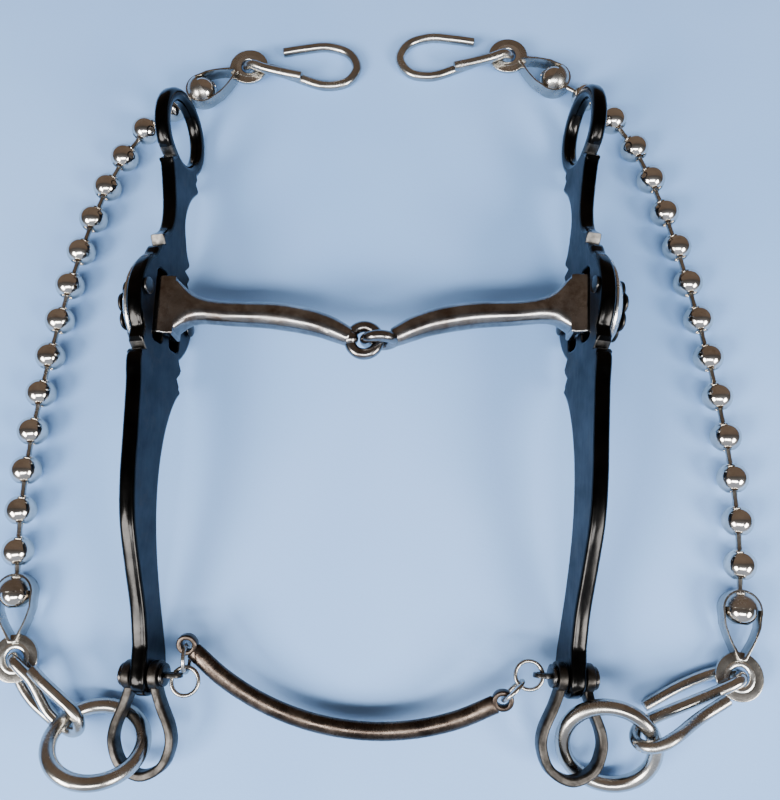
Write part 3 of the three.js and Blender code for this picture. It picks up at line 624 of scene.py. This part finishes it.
def build_mouth_half(word, inward, place, post):
    # The wrapped barrel: round on the cheek's side, and drawn out into the flare on the other.
    outline = arc((0, 0), BARREL_RADIUS, 62, 298, 44) + [(5.3, -4.4), (5.3, 4.4)]
    bore = arc((0, 0), BARREL_BORE, 0, 352, 44)
    shell = rounded_plate([resampled(outline, 0.8), bore], 2 * BARREL_HALF, barrel_edge, 4, 0.1)[:2]
    on_post = Matrix.Identity(4)
    on_post.col[0] = (*(post.cross(Z) * inward), 0)
    on_post.col[1] = (*Z, 0)
    on_post.col[2] = (*post, 0)
    barrel = moved(shell, on_post)
    start, end = 3.7, 60
    path = curve_through([(inward * x, y, 0) for x, y in
                          ((start, 0), (11, -0.6), (20, -1.6), (37, -2.6), (50.5, -5.4), (end, -9.6))], 120)
    # half width, half height and squareness of the section, by distance from the jaw post
    stations = [(start, 9.3, 4.4, 6), (4.4, 9.1, 4.45, 6), (5.2, 8.6, 4.42, 5), (6.2, 7.75, 4.35, 4.2),
                (7.4, 6.75, 4.25, 3.4), (8.8, 5.7, 4.15, 2.7), (10.4, 4.85, 4, 2.3), (12.4, 4.25, 3.9, 2.1),
                (15, 3.9, 3.8, 2), (19, 3.8, 3.75, 2), (28, 4, 4, 2), (38, 4.25, 4.25, 2),
                (46, 4.15, 4.15, 2), (54, 3.75, 3.75, 2), (end, 3, 3, 2)]
    canon = rod(path, lambda t: section_from(stations, start + (end - start) * t), 44, True, 0.3)
    eye_at = (inward * (MOUTH_HALF - EYE_OFFSET), JOINT_Y, 0)
    stand = to_axis((0, 1, 0)) if inward < 0 else Matrix.Identity(4)
    eye = moved(ring(EYE_RADIUS, EYE_WIRE, 64, 20), at(*eye_at) @ stand)
    half_turn = np.linspace(-math.pi / 2, math.pi / 2, 15)
    ball = turned([(2.7 * math.cos(a), 2.7 * math.sin(a)) for a in half_turn], 28)
    root = moved(ball, at(inward * (MOUTH_HALF - 6.9), JOINT_Y + 0.6, 0))
    points, faces = together(barrel, canon, eye, root)
    piece(f"{word}_canon", points, faces, [MOUTH], f"{word}_mouthpiece", [f"{word}_mouthpiece"],
          "dark_steel", place, 40)


# ---- slobber bar and its small rings -------------------------------------------------------
def build_bar(left_eye, right_eye):
    reach = right_eye - left_eye
    span = reach.length
    radius = (span * span / 4 + BAR_SAG * BAR_SAG) / (2 * BAR_SAG)
    spread = math.asin(span / 2 / radius)
    angles = [-spread + 2 * spread * (i + 0.2) / 8.4 for i in range(9)]
    path = curve_through([(span / 2 + radius * math.sin(a), radius - BAR_SAG - radius * math.cos(a), 0)
                          for a in angles], 110)

    def half_round(t):
        end = min(t, 1 - t)
        return 2.75, 2.0 - 0.85 * math.exp(-end / 0.04)

    bow = rod(path, half_round, 28, True, 0.3)
    pads = [moved(rounded_disc(3.1, -1.2, 1.2, 0.5, 1.6, 36), at(x, 0, 0)) for x in (0, span)]
    shape = together(bow, *pads)
    turn = Matrix.Rotation(math.atan2(reach.y, reach.x), 4, "Z") @ Matrix.Rotation(BAR_TILT, 4, "X")
    piece("slobber_bar_bow", *shape, [BAR_BROWN], "slobber_bar", ["slobber_bar"], "browned_steel",
          at(*left_eye) @ turn)


def build_small_rings(word, lug, lean, towards, sign):
    centre = lug + Vector((-sign * math.cos(lean), math.sin(lean), 0)) * SMALL_RING_RADIUS
    wire = ring(SMALL_RING_RADIUS, SMALL_RING_WIRE, 44, 14)
    piece(f"{word}_small_ring_1_wire", *wire, [NICKEL], f"{word}_small_ring_1", [f"{word}_small_ring_1"],
          "nickel", at(*centre))
    contact = centre + towards * SMALL_RING_RADIUS
    upright = contact + towards * (SMALL_RING_RADIUS - 2 * SMALL_RING_WIRE - GAP)
    piece(f"{word}_small_ring_2_wire", *wire, [NICKEL], f"{word}_small_ring_2", [f"{word}_small_ring_2"],
          "nickel", at(*upright) @ to_axis(towards.cross(Z)))
    return upright + towards * SMALL_RING_RADIUS


# ---- hooks, rings and chains ---------------------------------------------------------------
UPPER_HOOK = [
    (-11.8, 8.3, HOOK_LOW), (-20, 9.7, HOOK_LOW), (-28.3, 10.4, HOOK_LOW), (-36.2, 7.6, HOOK_LOW),
    (-39.3, 1.6, HOOK_LOW), (-36, -4.4, HOOK_LOW), (-28.3, -6.2, HOOK_LOW), (-16, -2, HOOK_LOW),
    (-6.4, 1.7, HOOK_LOW), (-1.6, 0.4, 2.2), (0.5, -0.1, 4.75), (-1.6, -0.9, 7.3),
    (-6, -2.8, HOOK_HIGH), (-13, -4.8, HOOK_HIGH), (-19.8, -6.4, HOOK_HIGH),
]


def lower_hook_points(reach, wire_height, slope, low_leg, high_leg):
    """From the low leg up through the eyelet, round the rein ring's wire and back in the high leg,
    as (along the hook, across it, height)."""
    at_eye = [(reach - 4, -low_leg, HOOK_LOW), (reach * 0.45, -low_leg - 0.2, HOOK_LOW),
              (3.6, -low_leg * 0.68, HOOK_LOW), (1, -1.3, 2.3), (-0.5, 0, BEAD_RADIUS), (1.2, 0.2, 7.2),
              (4.2, 0.2, HOOK_HIGH), (8.8, 0, 7.4)]
    round_wire = [(-6.4, -4.3), (-3, -4.6), (0, -4.6), (3.3, -3.1), (4.8, 0), (3.3, 3.2), (0, 4.7), (-4, 4.7)]
    free = [(reach * 0.55, high_leg + 0.3, HOOK_HIGH + 4.2), (8, high_leg, HOOK_HIGH + 2.9)]
    bend = [(reach + a, out * math.sin(slope), wire_height + out * math.cos(slope))
            for a, out in round_wire]
    return [*at_eye, *bend, *free]


def build_hook(name, points):
    path = curve_through(points, 150)
    shape = rod(path, lambda t: (HOOK_WIRE, HOOK_WIRE), 22, False, 0.25)
    piece(f"{name}_wire", *shape, [NICKEL], name, [name], "nickel")


def build_rein_ring(word, sign):
    low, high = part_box(f"{word}_rein_ring")
    centre = (low + high) * 500
    slope, high_side = REIN_RING_HANG[word]
    axis = Vector((sign * high_side[0], high_side[1], 0)).cross(Z).normalized()
    with_shank = Matrix.Rotation(-TOE_IN if sign > 0 else 0, 4, "Z")
    tilt = with_shank @ Matrix.Rotation(slope, 4, axis)
    piece(f"{word}_rein_ring_wire", *ring(REIN_RING_RADIUS, REIN_RING_WIRE, 80, 22), [NICKEL],
          f"{word}_rein_ring", [f"{word}_rein_ring"], "nickel", at(*centre) @ tilt)
    return centre, tilt, with_shank


def build_coupler(name, bead, heading):
    inside = BEAD_RADIUS + CAP_GAP
    nose = COUPLER_LENGTH - COUPLER_EYE + 1.6

    def band(offset):
        return [
            *arc((0, 0), inside + offset, 75, 285, 40),
            *smooth([(4.6, -(inside - 0.5 + offset)), (8.6, -(3.2 + offset)),
                     (nose + offset, -0.35 - offset)], 14),
            *smooth([(nose + offset, 0.35 + offset), (8.6, 3.2 + offset),
                     (4.6, inside - 0.5 + offset)], 14),
        ]

    points, faces, _ = rounded_plate([band(STRAP_THICK), band(0)], STRAP_WIDTH, lambda q: 0.2, 2, 0.05)
    eye = moved(rounded_disc(COUPLER_EYE, -0.62, 0.62, 0.3, COUPLER_HOLE + 0.4, 56), at(COUPLER_LENGTH, 0, 0))
    place = at(*bead) @ Matrix.Rotation(math.atan2(heading.y, heading.x), 4, "Z")
    shell_angles = np.radians(np.linspace(24, 86, 14))
    outer, inner = inside + STRAP_THICK, inside
    cap = turned([*[(outer * math.sin(a), outer * math.cos(a)) for a in shell_angles],
                  *[(inner * math.sin(a), inner * math.cos(a)) for a in shell_angles[::-1]]], 48, True)
    cap_points, cap_faces = moved(cap, to_axis((-1, 0, 0)))
    # The cap is pressed flat where it rests on the table.
    middle = inside + STRAP_THICK / 2
    rest = [-BEAD_RADIUS + (0.05 if math.hypot(*p) > middle else 0.3) for p in cap_points]
    cap_points = [(x, y, max(z, low)) for (x, y, z), low in zip(cap_points, rest)]
    points, faces = together((points, faces), eye, (cap_points, cap_faces))
    piece(f"{name}_strap", points, faces, [NICKEL], name, [name], "nickel", place)
    tube = [(COUPLER_HOLE, -0.5), (COUPLER_HOLE, 0.5)]
    roll = [(COUPLER_HOLE + 0.95 - 0.95 * math.cos(a), 0.35 + 0.43 * math.sin(a))
            for a in np.linspace(0, math.pi, 9)]
    under = [(r, -h) for r, h in reversed(roll)]
    rim = [(COUPLER_HOLE + 1.9, 0.2), (COUPLER_HOLE + 1.9, -0.2)]
    eyelet = turned([*tube, *roll, *rim, *under], 48, True)
    piece(f"{name}_eyelet", *eyelet, [SILVER], name, [], "nickel", place @ at(COUPLER_LENGTH, 0, 0))


def bead_shape():
    """A hollow ball pressed from sheet: an open mouth at the back, a small front hole round its neck."""
    mouth = 2.2
    back = math.atan2(mouth, -math.sqrt(BEAD_RADIUS**2 - mouth**2))
    front = math.asin((NECK_RADIUS + 0.15) / BEAD_RADIUS)
    angles = np.linspace(back, front, 26)
    outside = [(BEAD_RADIUS * math.sin(a), BEAD_RADIUS * math.cos(a)) for a in angles]
    rear, tip = outside[0][1], outside[-1][1] - 0.1
    lip = [(mouth - 0.32, rear + 0.9), (mouth - 0.28, rear + 0.3), (mouth - 0.12, rear + 0.06)]
    return turned([(0, -2.6), (1.7, -2.6), *lip, *outside, (NECK_RADIUS, tip), (0, tip)], 40)


def end_bead_shape():
    points, faces = bead_shape()
    cap = rounded_disc(1.5, 4.2, BEAD_RADIUS - 0.02, 0.15, 0, 24)
    return together((points, faces), cap)


def link_shape(pitch):
    """The dumbbell's neck between two beads, a little waisted, with the knob inside the next one."""
    start = BEAD_RADIUS * 0.9
    end = pitch - BEAD_RADIUS + NECK_DEPTH
    profile = [(0, start), (NECK_RADIUS, start)]
    for t in np.linspace(0, 1, 12):
        waist = 1 - 0.14 * math.sin(math.pi * t)
        profile.append((NECK_RADIUS * waist, start + 0.2 + t * (end - start - 0.6)))
    profile += [(NECK_RADIUS, end - 0.2), (NECK_RADIUS * 0.8, end), (0, end)]
    return turned(profile, 20)


def build_chain(word, sign):
    pivots = [JOINT_POS[f"{word}_bead_{i:02d}"] for i in range(1, BEADS + 1)]
    back = BEAD_RADIUS - NECK_DEPTH
    places = list(pivots)
    for _ in range(25):
        headings = [(b - a).normalized() for a, b in zip(places, places[1:])]
        headings.append(headings[-1])
        places = [pivots[0]] + [p + h * back for p, h in zip(pivots[1:], headings[1:])]
    for i, (spot, heading) in enumerate(zip(places, headings), 1):
        name = f"{word}_bead_{i:02d}"
        place = at(*spot) @ to_axis(heading) @ Matrix.Rotation(i * 0.9, 4, "Z")
        shape = bead_shape() if i < BEADS else end_bead_shape()
        piece(f"{name}_ball", *shape, [BEAD_NICKEL], name, [name], "nickel", place, 42)
        if i < BEADS:
            piece(f"{name}_link", *link_shape(BEAD_PITCH[word]), [NICKEL], name, [], "nickel", place)
    lower_eye = JOINT_POS[f"{word}_lower_coupler"]
    lower_heading = (lower_eye - places[0]).normalized()
    build_coupler(f"{word}_lower_coupler", lower_eye - lower_heading * COUPLER_LENGTH, lower_heading)
    build_coupler(f"{word}_upper_coupler", places[-1], headings[-1])

    upper_eye = JOINT_POS[f"{word}_upper_hook"]
    build_hook(f"{word}_upper_hook",
               [(upper_eye.x + sign * x, upper_eye.y + y, upper_eye.z + z - BEAD_RADIUS)
                for x, y, z in UPPER_HOOK])
    centre, tilt, with_shank = build_rein_ring(word, sign)
    pivot = JOINT_POS[f"{word}_lower_hook"]
    towards = lower_eye - centre
    towards.z = 0
    wire = centre + tilt @ (with_shank.inverted() @ towards.normalized() * REIN_RING_RADIUS)
    along = pivot - lower_eye
    along.z = 0
    reach = along.length
    along.normalize()
    across = Vector((-along.y, along.x, 0))
    lift = lower_eye.z - BEAD_RADIUS
    slope = REIN_RING_HANG[word][0]
    hook = lower_hook_points(reach, wire.z - lift, slope, *HOOK_LEGS[word])
    build_hook(f"{word}_lower_hook",
               [lower_eye + along * a + across * b + Z * (h - BEAD_RADIUS) for a, b, h in hook])


# ---- assembly ------------------------------------------------------------------------------
for word, sign in (("left", -1), ("right", 1)):
    jaw = POS[f"{word}_jaw"]
    turned_in = Matrix.Rotation(-TOE_IN if sign > 0 else 0, 4, "Z")
    cheek_place = at(*jaw) @ turned_in @ Matrix.Rotation(sign * SPLAY, 4, "Y")
    build_cheek(word, sign, cheek_place)
    build_shackle(word, cheek_place @ at(0, *PIN_AT) @ Matrix.Rotation(SHACKLE_DROOP[word], 4, "X"))
    build_mouth_half(word, -sign, at(*jaw), turned_in @ Y)
    build_chain(word, sign)

left_lug, right_lug = POS["left_small_ring_1_swing"], POS["right_small_ring_1_swing"]
left_eye = build_small_rings("left", left_lug, math.radians(-25), Y, -1)
right_eye = build_small_rings("right", right_lug, 0, Vector((-0.75, -0.66, 0)).normalized(), 1)
build_bar(left_eye, right_eye)


# ---- floor, light and camera ---------------------------------------------------------------
def floor_material():
    material = bpy.data.materials.new("pale_table_top")
    material.use_nodes = True
    nodes, links = material.node_tree.nodes, material.node_tree.links
    shader = nodes["Principled BSDF"]
    place = nodes.new("ShaderNodeTexCoord").outputs["Object"]
    clouds = noise(nodes, links, place, 6.0, 3.0)
    tone = ramp(nodes, links, clouds, (0.22, 0.42, 0.80, 1), (0.27, 0.475, 0.86, 1))
    links.new(tone, shader.inputs["Base Color"])
    shader.inputs["Roughness"].default_value = 0.85
    raised = nodes.new("ShaderNodeBump")
    raised.inputs["Strength"].default_value = 0.15
    raised.inputs["Distance"].default_value = 0.0003
    links.new(noise(nodes, links, place, 900.0, 2.0), raised.inputs["Height"])
    links.new(raised.outputs["Normal"], shader.inputs["Normal"])
    return material


def build_floor():
    half, steps = 6.0, 24
    net = bmesh.new()
    bmesh.ops.create_grid(net, x_segments=steps, y_segments=steps, size=half)
    mesh = bpy.data.meshes.new("table_top")
    net.to_mesh(mesh)
    net.free()
    mesh.materials.append(floor_material())
    floor = bpy.data.objects.new("table_top", mesh)
    floor.location = (0, 0, -0.0001)
    bpy.context.scene.collection.objects.link(floor)


def soft_light(name, spot, aim, size, power, colour):
    data = bpy.data.lights.new(name, "AREA")
    data.shape = "RECTANGLE"
    data.size, data.size_y = size
    data.energy = power
    data.color = colour
    lamp = bpy.data.objects.new(name, data)
    lamp.location = spot
    lamp.rotation_euler = (Vector(aim) - Vector(spot)).to_track_quat("-Z", "Y").to_euler()
    bpy.context.scene.collection.objects.link(lamp)


def studio_world():
    world = bpy.data.worlds.new("studio")
    world.use_nodes = True
    nodes, links = world.node_tree.nodes, world.node_tree.links
    background = nodes["Background"]
    direction = nodes.new("ShaderNodeTexCoord").outputs["Generated"]
    parts = nodes.new("ShaderNodeSeparateXYZ")
    links.new(direction, parts.inputs[0])
    sky = nodes.new("ShaderNodeValToRGB")
    sky.color_ramp.elements[0].position = 0.16
    sky.color_ramp.elements[0].color = (0.62, 0.68, 0.80, 1)
    sky.color_ramp.elements[1].position = 0.80
    sky.color_ramp.elements[1].color = (0.25, 0.185, 0.14, 1)
    between = ((0.36, (0.17, 0.17, 0.18, 1)), (0.50, (0.11, 0.10, 0.095, 1)), (0.62, (0.22, 0.165, 0.13, 1)))
    for position, colour in between:
        sky.color_ramp.elements.new(position).color = colour
    spread = nodes.new("ShaderNodeMapRange")
    spread.inputs["From Min"].default_value = -1
    spread.inputs["From Max"].default_value = 1
    links.new(parts.outputs["Y"], spread.inputs["Value"])
    links.new(spread.outputs["Result"], sky.inputs["Fac"])
    links.new(sky.outputs["Color"], background.inputs["Color"])
    background.inputs["Strength"].default_value = 0.9
    bpy.context.scene.world = world


build_floor()
studio_world()
soft_light("key_panel", (-0.62, -0.52, 0.58), (0, 0, 0), (0.42, 0.34), 13, (1, 0.99, 0.98))
soft_light("fill_panel", (0.66, -0.50, 0.52), (0, 0, 0), (0.36, 0.30), 10, (1, 0.99, 0.98))
soft_light("top_panel", (0.0, -0.58, 0.84), (0, 0.02, 0), (0.75, 0.16), 11, (0.98, 0.99, 1))

# Where the camera is, in metres, and how it is turned from looking straight down, in degrees.
CAMERA_AT = (0.0098, -0.0732, 0.2393)
CAMERA_TURN = Euler([math.radians(angle) for angle in (14.343, 1.215, 0.36)])
camera_data = bpy.data.cameras.new("photo_camera")
camera_data.sensor_fit = "HORIZONTAL"
camera_data.sensor_width = 36
camera_data.lens = 34.6
camera_data.clip_start = 0.01
camera = bpy.data.objects.new("photo_camera", camera_data)
camera.matrix_world = Matrix.Translation(CAMERA_AT) @ CAMERA_TURN.to_matrix().to_4x4()
bpy.context.scene.collection.objects.link(camera)
bpy.context.scene.camera = camera
